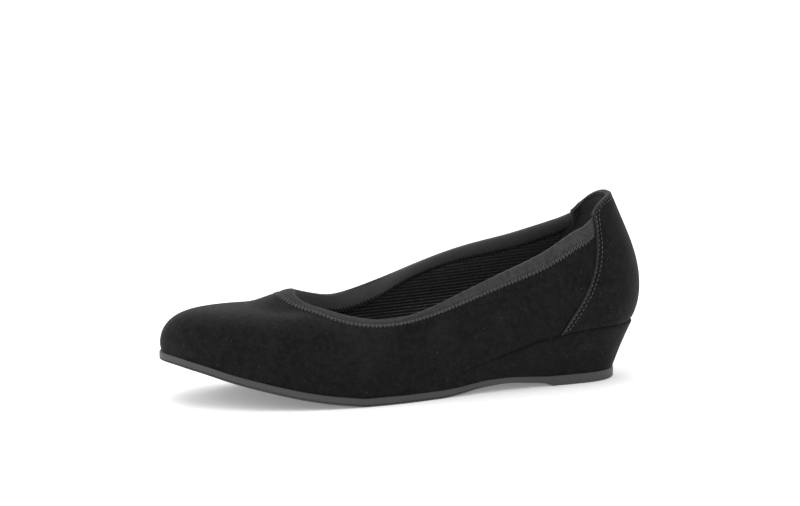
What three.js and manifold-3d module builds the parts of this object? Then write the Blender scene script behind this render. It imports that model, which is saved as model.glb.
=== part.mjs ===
// A woman's slip-on ballet flat on a low covered wedge, left foot, standing empty on its sole.
// Millimetres, +Z up. The toe points to -X, the lateral (outer) side is -Y and the medial side is +Y.
// The origin is on the floor, under the middle of the shoe.
import * as THREE from "three";
import { mergeVertices } from "three/addons/utils/BufferGeometryUtils.js";
import Module from "manifold-3d";

const wasm = await Module();
wasm.setup();

// Driving sizes of the last and the upper
const shoeLength = 248; // from the bulge behind the heel to the tip of the toe
const ballWidth = 82; // across the featherline at the ball
const heelHeight = 29; // floor to the heel seat, at the back
const backHeight = 65; // heel seat to the top of the back tab
const instepHeight = 47; // top of the flat part of the sole to the throat
const toeSpring = 20.5; // floor to the underside of the toe tip

// Upper
const wall = 2.2; // suede and lining together
const counterThickness = 1.2;
const counterStep = 0.5; // how far the counter stands proud of the quarter
const counterLip = 1.2; // the counter's fold over the quarter's edge
const counterRound = 0.9;
const cornerDrop = 1.8; // rounding of the counter's front top corner
const tapeWidth = 8;
const tapeProud = 0.2; // how far the tape stands proud of the vamp
const tapeRound = 0.6;
const tapeDrop = 3.2; // the tape's edge under the counter's front corner
const tapeDropRun = 0.7; // ribs over which the tape's edge climbs back to the topline

// Bottom
const heelSoleThickness = 5.2;
const foreSoleThickness = 4.2;
const archRise = 3.6;
const heelTaper = 8.6; // how far the wedge draws in, from seat to floor
const soleLedge = 1.0; // the sole's edge outside the featherline
const soleEdgeRound = 1.1;
const wedgeProud = 0.8; // the wedge's top edge outside the featherline
const wedgeEdgeRound = 0.9;
const insoleThickness = 3.0;
const insoleRound = 0.8;

const gap = 0.3; // clearance between pieces that meet

const heelX = shoeLength / 2;
const halfBall = ballWidth / 2;
const columnsPerRib = 5;
const wallRows = 11;
const seamRib = 3; // the rib along which the counter's front edge runs
const wedgeFrontRib = 6;

// Featherline, where the upper meets the sole or the wedge: a row for each rib from heel to toe.
// at is a share of the length from the heel, and lateral and medial are shares of half the ball width.
// taper is the share of the heel's taper, and ledge is the share of the sole's ledge.
const featherline = [
  { at: 0.018, lateral: 0.024, medial: -0.024, taper: 1.0, ledge: 0 },
  { at: 0.04, lateral: 0.4, medial: 0.354, taper: 0.92, ledge: 0 },
  { at: 0.105, lateral: 0.683, medial: 0.622, taper: 0.82, ledge: 0 },
  { at: 0.214, lateral: 0.756, medial: 0.671, taper: 0.72, ledge: 0 },
  { at: 0.323, lateral: 0.768, medial: 0.598, taper: 0.42, ledge: 0.1 },
  { at: 0.435, lateral: 0.829, medial: 0.622, taper: 0.14, ledge: 0.4 },
  { at: 0.54, lateral: 0.939, medial: 0.744, taper: 0.02, ledge: 0.8 },
  { at: 0.645, lateral: 1.0, medial: 0.902, taper: 0, ledge: 1 },
  { at: 0.75, lateral: 0.963, medial: 0.976, taper: 0, ledge: 1 },
  { at: 0.847, lateral: 0.805, medial: 0.915, taper: 0, ledge: 1 },
  { at: 0.935, lateral: 0.476, medial: 0.671, taper: 0, ledge: 1 },
  { at: 0.994, lateral: -0.122, medial: 0.122, taper: 0, ledge: 0.8 },
];

// Topline at the back, with the same ribs. outer and inner are the heights of the lateral and the
// medial edge over the heel seat, as shares of the back height. medialAt is the medial edge's at.
const backTopline = [
  { at: 0.065, medialAt: 0.065, lateral: 0.024, medial: -0.024, outer: 0.992, inner: 0.992 },
  { at: 0.071, medialAt: 0.07, lateral: 0.22, medial: 0.183, outer: 0.99, inner: 0.972 },
  { at: 0.093, medialAt: 0.085, lateral: 0.378, medial: 0.341, outer: 0.968, inner: 0.91 },
  { at: 0.129, medialAt: 0.112, lateral: 0.488, medial: 0.43, outer: 0.88, inner: 0.822 },
  { at: 0.218, medialAt: 0.212, lateral: 0.622, medial: 0.549, outer: 0.649, inner: 0.665 },
  { at: 0.331, medialAt: 0.331, lateral: 0.72, medial: 0.61, outer: 0.478, inner: 0.562 },
  { at: 0.444, medialAt: 0.444, lateral: 0.78, medial: 0.659, outer: 0.323, inner: 0.428 },
];

// Topline round the throat, with the same ribs. The heights are over the flat part of the sole, as
// shares of the instep height.
const throatTopline = [
  { at: 0.536, medialAt: 0.536, lateral: 0.793, medial: 0.72, outer: 0.809, inner: 0.928 },
  { at: 0.613, medialAt: 0.613, lateral: 0.683, medial: 0.671, outer: 0.781, inner: 0.84 },
  { at: 0.669, medialAt: 0.669, lateral: 0.488, medial: 0.537, outer: 0.864, inner: 0.885 },
  { at: 0.71, medialAt: 0.71, lateral: 0.22, medial: 0.341, outer: 0.953, inner: 0.96 },
  { at: 0.726, medialAt: 0.726, lateral: -0.073, medial: 0.073, outer: 1.0, inner: 1.0 },
];

// The wall's bow between featherline and topline: three control points for each rib. In is the share
// of the way in to the topline, out is the bulge as a share of half the ball width, and up is the
// share of the wall's height. at is the rib's number.
const wallBow = [
  { at: 0, lowIn: 0, lowOut: 0.217, lowUp: 0.21, midIn: 0.3, midOut: 0.185, midUp: 0.5,
    highIn: 0.7, highOut: 0.06, highUp: 0.77 },
  { at: 2, lowIn: 0, lowOut: 0.122, lowUp: 0.22, midIn: 0.25, midOut: 0.122, midUp: 0.52,
    highIn: 0.6, highOut: 0.037, highUp: 0.8 },
  { at: 3, lowIn: 0.22, lowOut: 0.122, lowUp: 0.2, midIn: 1.08, midOut: 0.293, midUp: 0.4,
    highIn: 1.08, highOut: 0.139, highUp: 0.72 },
  { at: 5, lowIn: 0.2, lowOut: 0.061, lowUp: 0.25, midIn: 0.5, midOut: 0.073, midUp: 0.5,
    highIn: 0.75, highOut: 0.037, highUp: 0.76 },
  { at: 7, lowIn: 0.05, lowOut: 0.098, lowUp: 0.3, midIn: 0.3, midOut: 0.11, midUp: 0.66,
    highIn: 0.65, highOut: 0.049, highUp: 0.92 },
  { at: 9, lowIn: 0, lowOut: 0.085, lowUp: 0.38, midIn: 0.15, midOut: 0.049, midUp: 0.95,
    highIn: 0.58, highOut: 0, highUp: 0.82 },
  { at: 10, lowIn: 0, lowOut: 0.078, lowUp: 0.42, midIn: 0.1, midOut: 0, midUp: 1.1,
    highIn: 0.58, highOut: 0, highUp: 0.6 },
  { at: 11, lowIn: 0, lowOut: 0.073, lowUp: 0.42, midIn: 0.1, midOut: 0, midUp: 1.19,
    highIn: 0.6, highOut: 0, highUp: 0.44 },
];

// The sole from heel to toe, at shares of the length. spring is the share of the toe spring, thin is
// the change from heel to forefoot thickness, and waist is the top's rise as a share of the arch.
const soleProfile = [
  { at: 0.222, spring: 0, thin: 0, waist: 0 },
  { at: 0.254, spring: 0, thin: 0.05, waist: 0.15 },
  { at: 0.29, spring: 0, thin: 0.25, waist: 0.4 },
  { at: 0.327, spring: 0, thin: 0.5, waist: 0.57 },
  { at: 0.363, spring: 0, thin: 0.7, waist: 0.58 },
  { at: 0.4, spring: 0, thin: 0.85, waist: 0.37 },
  { at: 0.435, spring: 0, thin: 0.95, waist: 0.12 },
  { at: 0.476, spring: 0, thin: 1, waist: 0 },
  { at: 0.633, spring: 0, thin: 1, waist: 0 },
  { at: 0.669, spring: 0.049, thin: 1, waist: 0 },
  { at: 0.706, spring: 0.112, thin: 1, waist: 0 },
  { at: 0.75, spring: 0.21, thin: 1, waist: 0 },
  { at: 0.794, spring: 0.332, thin: 1, waist: 0 },
  { at: 0.839, spring: 0.473, thin: 1, waist: 0 },
  { at: 0.887, spring: 0.634, thin: 1, waist: 0 },
  { at: 0.952, spring: 0.878, thin: 1, waist: 0 },
  { at: 1, spring: 1, thin: 1, waist: 0 },
];

// The seat over the sole: lift is a share of the heel seat's height over the heel sole.
const seatProfile = [
  { at: 0.109, lift: 1 },
  { at: 0.165, lift: 0.965 },
  { at: 0.218, lift: 0.866 },
  { at: 0.254, lift: 0.777 },
  { at: 0.29, lift: 0.643 },
  { at: 0.327, lift: 0.513 },
  { at: 0.363, lift: 0.412 },
  { at: 0.4, lift: 0.34 },
  { at: 0.452, lift: 0.252 },
  { at: 0.504, lift: 0.139 },
  { at: 0.544, lift: 0.046 },
  { at: 0.575, lift: 0 },
];

// The arch cut into the sole's underside, at shares of the length, with rises as shares of the arch.
const archHeelEnd = 0.222;
const archBreastTop = 0.228;
const archBreastRise = 0.33;
const archCrown = 0.325;
const archForeEnd = 0.476;

// Smooth curve through a table's rows, level at both ends and with no overshoot between rows.
function valueAt(rows, column, at) {
  const last = rows.length - 1;
  if (at <= rows[0].at) return rows[0][column];
  if (at >= rows[last].at) return rows[last][column];
  let i = 0;
  while (rows[i + 1].at < at) i += 1;
  const secant = (j) => (rows[j + 1][column] - rows[j][column]) / (rows[j + 1].at - rows[j].at);
  const slope = (j) => {
    if (j === 0 || j === last) return 0;
    const before = secant(j - 1);
    const after = secant(j);
    return before * after <= 0 ? 0 : (2 * before * after) / (before + after);
  };
  const span = rows[i + 1].at - rows[i].at;
  const t = (at - rows[i].at) / span;
  const start = rows[i][column] * (1 + 2 * t) + slope(i) * span * t;
  const end = rows[i + 1][column] * (3 - 2 * t) - slope(i + 1) * span * (1 - t);
  return start * (1 - t) ** 2 + end * t ** 2;
}

// Knots of a loop: heel, lateral ribs, toe, then the medial ribs back to the heel.
function loopKnots(rows, knot) {
  const lateral = rows.map((row) => knot(row, true));
  const medial = rows.slice(1, -1).map((row) => knot(row, false));
  return [...lateral, ...medial.reverse()];
}

// Closed cubic B-spline through the knots. Its parameter counts the ribs.
function closedSpline(knots) {
  const size = knots.length;
  const from = (list, i) => list[((i % size) + size) % size];
  let controls = knots;
  for (let pass = 0; pass < 40; pass += 1) {
    controls = knots.map((knot, i) => {
      const sides = from(controls, i - 1).clone().add(from(controls, i + 1));
      return knot.clone().multiplyScalar(6).sub(sides).divideScalar(4);
    });
  }
  return (u) => {
    const i = Math.floor(u);
    const t = u - i;
    const weights = [(1 - t) ** 3, 3 * t ** 3 - 6 * t ** 2 + 4, 3 * (t + t ** 2 - t ** 3) + 1, t ** 3];
    const point = knots[0].clone().multiplyScalar(0);
    weights.forEach((weight, j) => point.addScaledVector(from(controls, i - 1 + j), weight / 6));
    return point;
  };
}

// Heights of the bottom
const lengthShare = (x) => (heelX - x) / shoeLength;
const soleBottom = (x) => toeSpring * valueAt(soleProfile, "spring", lengthShare(x));
function soleTop(x) {
  const thin = valueAt(soleProfile, "thin", lengthShare(x));
  const thickness = heelSoleThickness + (foreSoleThickness - heelSoleThickness) * thin;
  return soleBottom(x) + thickness + archRise * valueAt(soleProfile, "waist", lengthShare(x));
}
function seat(x) {
  return soleTop(x) + (heelHeight - heelSoleThickness) * valueAt(seatProfile, "lift", lengthShare(x));
}

// Loops round the shoe
const toeRib = featherline.length - 1;
const ribs = 2 * toeRib;
const ribNumber = (u) => toeRib - Math.abs(toeRib - (((u % ribs) + ribs) % ribs));
function planPoint(row, isLateral) {
  const at = isLateral ? row.at : row.medialAt ?? row.at;
  const across = isLateral ? -row.lateral : row.medial;
  return new THREE.Vector3(heelX - shoeLength * at, halfBall * across, 0);
}
const footLoop = closedSpline(loopKnots(featherline, planPoint));
const edgeLoop = closedSpline(loopKnots(featherline, (row) => new THREE.Vector2(row.taper, row.ledge)));
const topRows = [
  ...backTopline.map((row) => ({ ...row, base: heelHeight, height: backHeight })),
  ...throatTopline.map((row) => ({ ...row, base: foreSoleThickness, height: instepHeight })),
];
const topLoop = closedSpline(loopKnots(topRows, (row, isLateral) => {
  const share = isLateral ? row.outer : row.inner;
  return planPoint(row, isLateral).setZ(row.base + row.height * share);
}));

// Outward direction of the featherline in plan
function planNormal(u) {
  const along = footLoop(u + 0.01).sub(footLoop(u - 0.01));
  return new THREE.Vector3(-along.y, along.x, 0).normalize();
}
const footOffset = (u, distance) => footLoop(u).addScaledVector(planNormal(u), distance);

// The upper's outer face along one rib, as a curve from featherline (0) to topline (1).
function ribCurve(u) {
  const foot = footLoop(u);
  foot.z = seat(foot.x) + gap;
  const top = topLoop(u);
  const outward = planNormal(u);
  const bow = (column) => valueAt(wallBow, column, ribNumber(u));
  const inner = ["low", "mid", "high"].map((level) => {
    const point = foot.clone().lerp(top, bow(`${level}In`));
    point.addScaledVector(outward, halfBall * bow(`${level}Out`));
    point.z = foot.z + (top.z - foot.z) * bow(`${level}Up`);
    return point;
  });
  const controls = [foot, ...inner, top];
  const binomials = [1, 4, 6, 4, 1];
  return (t) => {
    const point = new THREE.Vector3();
    controls.forEach((control, i) => {
      point.addScaledVector(control, binomials[i] * t ** i * (1 - t) ** (4 - i));
    });
    return point;
  };
}

// The upper's wall at one rib: places a point by its way down from the topline and in from the face.
function wallAt(u) {
  const samples = 60;
  const curve = ribCurve(u);
  const before = ribCurve(u - 0.02);
  const after = ribCurve(u + 0.02);
  const downs = [0];
  for (let i = 1; i <= samples; i += 1) {
    const step = curve(1 - i / samples).distanceTo(curve(1 - (i - 1) / samples));
    downs.push(downs[i - 1] + step);
  }
  const height = downs[samples];
  const place = (down, inward) => {
    const level = Math.min(Math.max(down, 0), height);
    let i = 1;
    while (i < samples && downs[i] < level) i += 1;
    const t = 1 - (i - 1 + (level - downs[i - 1]) / (downs[i] - downs[i - 1])) / samples;
    const low = Math.max(t - 0.01, 0);
    const high = Math.min(t + 0.01, 1);
    const upward = curve(high).sub(curve(low));
    const normal = upward.cross(after(t).sub(before(t))).normalize();
    const footing = 1 - THREE.MathUtils.smoothstep(height - level, 0, 6);
    normal.lerp(planNormal(u), footing).normalize();
    return curve(t).addScaledVector(normal, -inward);
  };
  return { height, place };
}

// Closed solid from a list of points and triangles, with coincident points joined.
function solid(points, triangles) {
  let geometry = new THREE.BufferGeometry().setFromPoints(points);
  geometry.setIndex(triangles.flat());
  geometry = mergeVertices(geometry, 1e-3);
  const index = Array.from(geometry.index.array);
  const corners = [];
  for (let i = 0; i < index.length; i += 3) corners.push(index.slice(i, i + 3));
  const kept = corners.filter(([a, b, c]) => a !== b && b !== c && c !== a);
  const position = geometry.attributes.position;
  const corner = (i) => new THREE.Vector3().fromBufferAttribute(position, i);
  const volume = kept.reduce((sum, [a, b, c]) => sum + corner(a).dot(corner(b).cross(corner(c))), 0);
  geometry.setIndex((volume < 0 ? kept.map(([a, b, c]) => [a, c, b]) : kept).flat());
  return geometry;
}

// Triangles between neighbouring rings of the same size
function ringTriangles(ringCount, ringSize, isClosed) {
  const triangles = [];
  const last = isClosed ? ringCount : ringCount - 1;
  for (let i = 0; i < last; i += 1) {
    for (let j = 0; j < ringSize; j += 1) {
      const a = i * ringSize + j;
      const b = i * ringSize + ((j + 1) % ringSize);
      const c = ((i + 1) % ringCount) * ringSize + j;
      const d = ((i + 1) % ringCount) * ringSize + ((j + 1) % ringSize);
      triangles.push([a, c, d], [a, d, b]);
    }
  }
  return triangles;
}

// Triangles that close the first and the last ring, with rungs between the two halves of a ring
function endTriangles(ringCount, ringSize) {
  const triangles = [];
  for (const first of [0, (ringCount - 1) * ringSize]) {
    for (let i = 0; i + 1 < ringSize / 2; i += 1) {
      const a = first + i;
      const b = first + i + 1;
      const c = first + ringSize - 2 - i;
      const d = first + ringSize - 1 - i;
      triangles.push(...(first === 0 ? [[a, b, c], [a, c, d]] : [[a, d, c], [a, c, b]]));
    }
  }
  return triangles;
}

// Solid swept along the ribs. section gives each rib's ring as pairs of way down and way in.
function sweep(stations, section, isClosed) {
  const rings = stations.map((u) => {
    const { height, place } = wallAt(u);
    return section(u, height).map(([down, inward]) => place(down, inward));
  });
  const size = rings[0].length;
  const ends = isClosed ? [] : endTriangles(rings.length, size);
  return solid(rings.flat(), [...ringTriangles(rings.length, size, isClosed), ...ends]);
}

// Solid between outlines that are stacked upwards. Each layer has a lateral and a medial edge.
function slab(layers) {
  const rings = layers.map(({ lateral, medial }) => [...lateral, ...medial.toReversed()]);
  const size = rings[0].length;
  return solid(rings.flat(), [...ringTriangles(rings.length, size, false), ...endTriangles(rings.length, size)]);
}

// Both edges of a layer from heel to frontRib; outset and level are functions of the rib parameter.
function layer(frontRib, outset, level) {
  const edge = (sign) => {
    const stations = ribStations(0, frontRib).map((u) => sign * u);
    return stations.map((u) => {
      const point = footOffset(u, outset(u));
      return point.setZ(level(point.x, u));
    });
  };
  return { lateral: edge(1), medial: edge(-1) };
}

// Evenly spaced stations between two ribs, both ends included
function ribStations(from, to) {
  const first = Math.floor(from * columnsPerRib + 1e-6) + 1;
  const inside = [];
  for (let i = first; i / columnsPerRib < to - 1e-6; i += 1) inside.push(i / columnsPerRib);
  return [from, ...inside, to];
}

const toManifold = (geometry) => {
  const merged = mergeVertices(geometry, 1e-4);
  return new wasm.Manifold(new wasm.Mesh({
    numProp: 3,
    vertProperties: Float32Array.from(merged.attributes.position.array),
    triVerts: Uint32Array.from(merged.index.array),
  }));
};
const fromManifold = (body) => {
  const mesh = body.getMesh();
  const geometry = new THREE.BufferGeometry();
  geometry.setAttribute("position", new THREE.BufferAttribute(mesh.vertProperties, 3));
  geometry.setIndex(new THREE.BufferAttribute(mesh.triVerts, 1));
  return geometry;
};

// Outsole: a thin sole with rounded edges and toe spring, and with the arch cut from its underside.
function soleOutset(u) {
  const edge = edgeLoop(u);
  return soleLedge * edge.y - heelTaper * edge.x;
}
function makeOutsole() {
  const round = soleEdgeRound;
  const soleLayer = (inset, level) => layer(toeRib, (u) => soleOutset(u) - inset, level);
  const blank = slab([
    soleLayer(round, (x) => soleBottom(x)),
    soleLayer(0.3 * round, (x) => soleBottom(x) + 0.3 * round),
    soleLayer(0, (x) => soleBottom(x) + round),
    soleLayer(0, (x) => soleTop(x) - round),
    soleLayer(0.3 * round, (x) => soleTop(x) - 0.3 * round),
    soleLayer(round, (x) => soleTop(x)),
  ]);
  const xAt = (share) => heelX - shoeLength * share;
  const below = -1;
  const arch = new THREE.Shape();
  arch.moveTo(xAt(archHeelEnd), below);
  arch.lineTo(xAt(archHeelEnd), 0);
  arch.lineTo(xAt(archBreastTop), archRise * archBreastRise);
  arch.splineThru([
    new THREE.Vector2(xAt(0.27), archRise * 0.72),
    new THREE.Vector2(xAt(archCrown), archRise),
    new THREE.Vector2(xAt(0.38), archRise * 0.78),
    new THREE.Vector2(xAt(0.43), archRise * 0.27),
    new THREE.Vector2(xAt(archForeEnd), 0),
  ]);
  arch.lineTo(xAt(archForeEnd), below);
  const options = { depth: 2 * ballWidth, bevelEnabled: false, curveSegments: 20 };
  const cutter = new THREE.ExtrudeGeometry(arch, options);
  cutter.translate(0, 0, -ballWidth);
  cutter.rotateX(Math.PI / 2);
  cutter.deleteAttribute("normal");
  cutter.deleteAttribute("uv");
  return fromManifold(toManifold(blank).subtract(toManifold(cutter)));
}

// Wedge: the covered heel lift, drawn in towards the floor and thinning out under the waist.
function makeWedge() {
  const thickness = (x) => seat(x) - soleTop(x) - gap;
  const round = (x) => Math.min(wedgeEdgeRound, 0.4 * thickness(x));
  const floorLevel = (x) => soleTop(x) + gap;
  return slab([
    layer(wedgeFrontRib, (u) => soleOutset(u) - gap, floorLevel),
    layer(wedgeFrontRib, () => wedgeProud, (x) => seat(x) - round(x)),
    layer(wedgeFrontRib, () => wedgeProud - 0.3 * wedgeEdgeRound, (x) => seat(x) - 0.3 * round(x)),
    layer(wedgeFrontRib, () => wedgeProud - wedgeEdgeRound, seat),
  ]);
}

// Insole: a padded board inside the upper, lying on the wedge and the sole.
function makeInsole() {
  const inset = wall + 2 * gap;
  return slab([
    layer(toeRib, () => -inset, (x) => seat(x) + gap),
    layer(toeRib, () => -inset, (x) => seat(x) + gap + insoleThickness - insoleRound),
    layer(toeRib, () => -inset - insoleRound, (x) => seat(x) + gap + insoleThickness),
  ]);
}

// Stations on both sides of the counter's seam, where pieces end a clearance apart
const seamSpan = ribCurve(seamRib - 0.5)(0.5).distanceTo(ribCurve(seamRib + 0.5)(0.5));
const seamClear = gap / seamSpan;
const seamEdge = 1.5 * seamClear;
const tapeEnd = seamEdge + seamClear;

// How far the tape's edge lies under the topline
function tapeTop(u) {
  const past = ribNumber(u) - seamRib;
  return tapeDrop * (1 - THREE.MathUtils.smoothstep(past, 0, tapeDropRun));
}
// How far the counter's rounded front corner lies under the topline
function counterTop(u) {
  const before = Math.min(Math.max((seamRib - ribNumber(u)) / 0.4, 0), 1);
  return cornerDrop * (1 - Math.sqrt(1 - (1 - before) ** 2));
}
// Points up a wall at one way in, from the featherline to the rim, on levels that all pieces share
function rise(height, rim, inward) {
  const level = (i) => Math.max(height * (1 - i / wallRows), rim);
  return Array.from({ length: wallRows + 1 }, (_, i) => [level(i), inward]);
}

// Upper: vamp and quarters as one hollow wall, recessed at the back where the counter lies on it.
function makeUpper() {
  const recess = counterThickness - counterStep + gap;
  const steps = [0, 0.33, 0.67, 1].map((share) => seamRib + seamClear + share * (seamEdge - seamClear));
  const stations = [
    ...steps.slice(0, -1),
    ...ribStations(steps.at(-1), ribs - steps.at(-1)),
    ...steps.slice(0, -1).map((u) => ribs - u).reverse(),
    ...ribStations(ribs - steps[0], ribs + steps[0]).slice(1, -1),
  ];
  return sweep(stations, (u, height) => {
    const front = THREE.MathUtils.clamp((ribNumber(u) - steps[0]) / (seamEdge - seamClear), 0, 1);
    const backRim = counterTop(u) + counterLip + gap;
    const rim = THREE.MathUtils.lerp(backRim, tapeTop(u) + tapeWidth + gap, front);
    return [...rise(height, rim, recess * (1 - front)), ...rise(height, rim, wall).reverse()];
  }, true);
}

// Counter: the back panel and its tab, lying on the quarters and folded over their edge.
function makeCounter() {
  const face = -counterStep;
  const back = counterThickness - counterStep;
  const round = counterRound;
  return sweep(ribStations(-seamRib, seamRib), (u, height) => {
    const top = counterTop(u);
    return [
      ...rise(height, top + counterLip, back),
      [top + counterLip, wall],
      [top + 0.3 * round, wall - 0.1 * round],
      [top, wall - 0.8 * round],
      [top, face + round],
      [top + 0.3 * round, face + 0.3 * round],
      ...rise(height, top + round, face).reverse(),
    ];
  }, false);
}

// Collar tape: a rounded band on the wall's edge, from seam to seam round the throat.
function makeCollarTape() {
  const face = -tapeProud;
  const round = tapeRound;
  const stations = ribStations(seamRib + tapeEnd, ribs - seamRib - tapeEnd);
  return sweep(stations, (u) => {
    const top = tapeTop(u);
    return [
      [top + tapeWidth, wall],
      [top + tapeWidth / 2, wall],
      [top + round, wall],
      [top + 0.3 * round, wall - 0.3 * round],
      [top, wall - round],
      [top, face + round],
      [top + 0.3 * round, face + 0.3 * round],
      [top + round, face],
      [top + tapeWidth / 2, face],
      [top + tapeWidth, face],
    ];
  }, false);
}

const suede = new THREE.MeshStandardMaterial({ color: 0x262627, roughness: 0.95, metalness: 0 });
const webbing = new THREE.MeshStandardMaterial({ color: 0x444547, roughness: 0.85, metalness: 0 });
const rubber = new THREE.MeshStandardMaterial({ color: 0x505052, roughness: 0.6, metalness: 0 });
const lining = new THREE.MeshStandardMaterial({ color: 0x1d1d1e, roughness: 0.9, metalness: 0 });

const shoe = new THREE.Group();
const pieces = [
  ["outsole", makeOutsole(), rubber],
  ["wedge", makeWedge(), suede],
  ["upper", makeUpper(), suede],
  ["counter", makeCounter(), suede],
  ["collar_tape", makeCollarTape(), webbing],
  ["insole", makeInsole(), lining],
];
for (const [name, geometry, material] of pieces) {
  const mesh = new THREE.Mesh(geometry, material);
  mesh.name = name;
  shoe.add(mesh);
}

export default shoe;
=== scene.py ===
# A women's suede ballet flat on a low covered wedge, left foot, dressed round its fixed frame.
# Metres, +Z up. The toe points to -X and the lateral (outer) side is -Y.
import math
import bmesh
import bpy
import numpy as np
from mathutils import Matrix, Vector


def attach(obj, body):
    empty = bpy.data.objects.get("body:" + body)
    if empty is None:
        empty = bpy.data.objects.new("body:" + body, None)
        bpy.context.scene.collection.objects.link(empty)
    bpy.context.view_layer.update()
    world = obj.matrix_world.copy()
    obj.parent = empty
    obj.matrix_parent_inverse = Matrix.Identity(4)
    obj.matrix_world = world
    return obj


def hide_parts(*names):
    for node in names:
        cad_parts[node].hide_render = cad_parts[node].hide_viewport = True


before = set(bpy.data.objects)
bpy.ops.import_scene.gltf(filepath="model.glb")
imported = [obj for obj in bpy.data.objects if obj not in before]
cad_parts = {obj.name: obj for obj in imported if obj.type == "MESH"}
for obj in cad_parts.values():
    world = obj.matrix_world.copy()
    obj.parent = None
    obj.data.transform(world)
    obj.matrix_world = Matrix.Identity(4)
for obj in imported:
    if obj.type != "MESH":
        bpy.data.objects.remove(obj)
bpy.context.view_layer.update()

# Setting
# A plain white studio floor under large soft lights, with the camera at the photograph's angle.
# The shoe stands on the floor by itself.
azimuth, elevation = math.radians(-20), math.radians(10)
back = Vector((math.sin(azimuth) * math.cos(elevation), -math.cos(azimuth) * math.cos(elevation),
               math.sin(elevation)))
right = Vector((math.cos(azimuth), math.sin(azimuth), 0))
upward = back.cross(right)
middle = Vector((0, 0, 0.040))
camera_distance = 1.5
camera_data = bpy.data.cameras.new("camera")
camera_data.lens, camera_data.sensor_width = 136.55, 36
camera_data.clip_start, camera_data.clip_end = 0.05, 60
camera = bpy.data.objects.new("camera", camera_data)
camera.location = middle + back * camera_distance
aim = middle + upward * 0.0267 - right * 0.002
camera.rotation_euler = (aim - camera.location).to_track_quat("-Z", "Y").to_euler()
bpy.context.scene.collection.objects.link(camera)
bpy.context.scene.camera = camera
bpy.context.scene.view_settings.view_transform = "Standard"


def soft_light(name, place, size, watts):
    lamp = bpy.data.lights.new(name, "AREA")
    lamp.shape, lamp.size, lamp.size_y = "RECTANGLE", *size
    lamp.energy = watts
    light = bpy.data.objects.new(name, lamp)
    light.location = Vector(place)
    light.rotation_euler = (Vector((0, 0, 0.03)) - light.location).to_track_quat("-Z", "Y").to_euler()
    bpy.context.scene.collection.objects.link(light)


soft_light("key_light", (-0.5, -0.5, 1.9), (1.4, 1.2), 8)
soft_light("back_light", (0.3, 1.4, 1.3), (2.0, 0.8), 12)
soft_light("toe_light", (-1.6, 0.1, 0.9), (0.8, 0.8), 7)
world = bpy.data.worlds.new("studio")
world.use_nodes = True
world.node_tree.nodes["Background"].inputs["Color"].default_value = (1, 1, 1, 1)
world.node_tree.nodes["Background"].inputs["Strength"].default_value = 1.0
bpy.context.scene.world = world

floor_mesh = bmesh.new()
bmesh.ops.create_grid(floor_mesh, x_segments=12, y_segments=12, size=8)
floor_data = bpy.data.meshes.new("floor")
floor_mesh.to_mesh(floor_data)
floor_mesh.free()
floor = bpy.data.objects.new("floor", floor_data)
bpy.context.scene.collection.objects.link(floor)
floor_finish = bpy.data.materials.new("white_paper")
floor_finish.use_nodes = True
paper = floor_finish.node_tree.nodes["Principled BSDF"]
paper.inputs["Roughness"].default_value = 1.0
paper.inputs["Specular IOR Level"].default_value = 0.0
paper.inputs["Emission Color"].default_value = (1, 1, 1, 1)
paper.inputs["Emission Strength"].default_value = 0.2
fleck = floor_finish.node_tree.nodes.new("ShaderNodeTexNoise")
fleck.inputs["Scale"].default_value = 3.0
tint = floor_finish.node_tree.nodes.new("ShaderNodeMapRange")
tint.inputs["To Min"].default_value = 0.9
tint.inputs["To Max"].default_value = 0.92
floor_finish.node_tree.links.new(fleck.outputs["Fac"], tint.inputs["Value"])
floor_finish.node_tree.links.new(tint.outputs["Result"], paper.inputs["Base Color"])
floor_data.materials.append(floor_finish)

# Outsole
# The real piece is a thin moulded rubber unit with a narrow ledge, an arch and a turned-up toe.
# It is one solid here, with a fine lip moulded along the lower edge of the forefoot.
mm = 0.001
shoe_length = 248 * mm
half_ball = 41 * mm
heel_x = shoe_length / 2
heel_height = 29 * mm
toe_spring = 20.5 * mm
heel_sole, fore_sole = 5.2 * mm, 4.2 * mm
arch_rise = 3.6 * mm
heel_taper = 8.6 * mm
sole_ledge = 1.0 * mm
gap = 0.3 * mm
TOE = 11  # ribs are numbered from 0 at the heel to 11 at the toe on the lateral side, and back to 22

# at, lateral and medial half widths, share of the heel's taper, share of the sole's ledge
featherline = [
    (0.018, 0.024, -0.024, 1.0, 0), (0.04, 0.4, 0.354, 0.92, 0), (0.105, 0.683, 0.622, 0.82, 0),
    (0.214, 0.756, 0.671, 0.72, 0), (0.323, 0.768, 0.598, 0.42, 0.1), (0.435, 0.829, 0.622, 0.14, 0.4),
    (0.54, 0.939, 0.744, 0.02, 0.8), (0.645, 1.0, 0.902, 0, 1), (0.75, 0.963, 0.976, 0, 1),
    (0.847, 0.805, 0.915, 0, 1), (0.935, 0.476, 0.671, 0, 1), (0.994, -0.122, 0.122, 0, 0.8),
]
# at, share of the toe spring, share of the way from heel to forefoot thickness, share of the arch
sole_profile = [
    (0.222, 0, 0, 0), (0.254, 0, 0.05, 0.15), (0.29, 0, 0.25, 0.4), (0.327, 0, 0.5, 0.57),
    (0.363, 0, 0.7, 0.58), (0.4, 0, 0.85, 0.37), (0.435, 0, 0.95, 0.12), (0.476, 0, 1, 0),
    (0.633, 0, 1, 0), (0.669, 0.049, 1, 0), (0.706, 0.112, 1, 0), (0.75, 0.21, 1, 0),
    (0.794, 0.332, 1, 0), (0.839, 0.473, 1, 0), (0.887, 0.634, 1, 0), (0.952, 0.878, 1, 0), (1, 1, 1, 0),
]
# at, rise of the arch's underside as a share of the arch
arch_profile = [
    (0.222, 0), (0.228, 0.33), (0.27, 0.72), (0.325, 1), (0.38, 0.78), (0.43, 0.27), (0.476, 0),
]
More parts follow.
